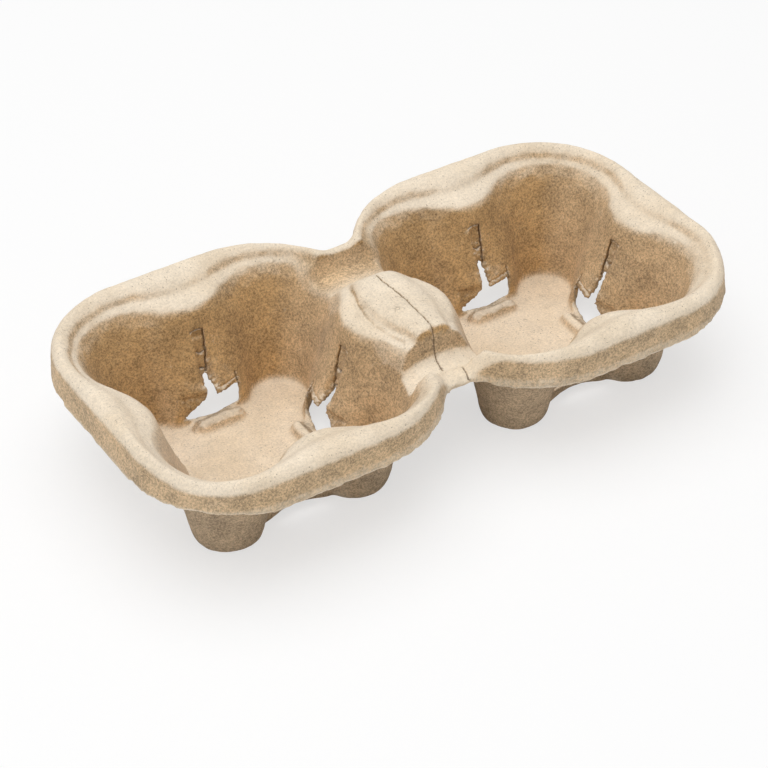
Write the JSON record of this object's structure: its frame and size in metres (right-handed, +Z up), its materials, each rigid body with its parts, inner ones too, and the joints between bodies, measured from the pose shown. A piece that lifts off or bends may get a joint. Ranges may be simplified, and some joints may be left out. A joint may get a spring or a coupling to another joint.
{
  "type": "cup carrier",
  "caption": "Moulded pulp carrier with lobed wells for take-away cups, a grip pad with finger recesses between them, slit windows in the walls and a turned-down rim.",
  "frame": {"origin": "on the table, under the middle of the carrier", "axes": "+X along the row of wells, +Y towards the back, +Z up out of the wells"},
  "size_m": [0.21, 0.109, 0.045],
  "materials": {
    "pulp": "matte, fine fibre grain and dark specks"
  },
  "bodies": {
    "root": {"carrier": "pulp"}
  },
  "joints": []
}
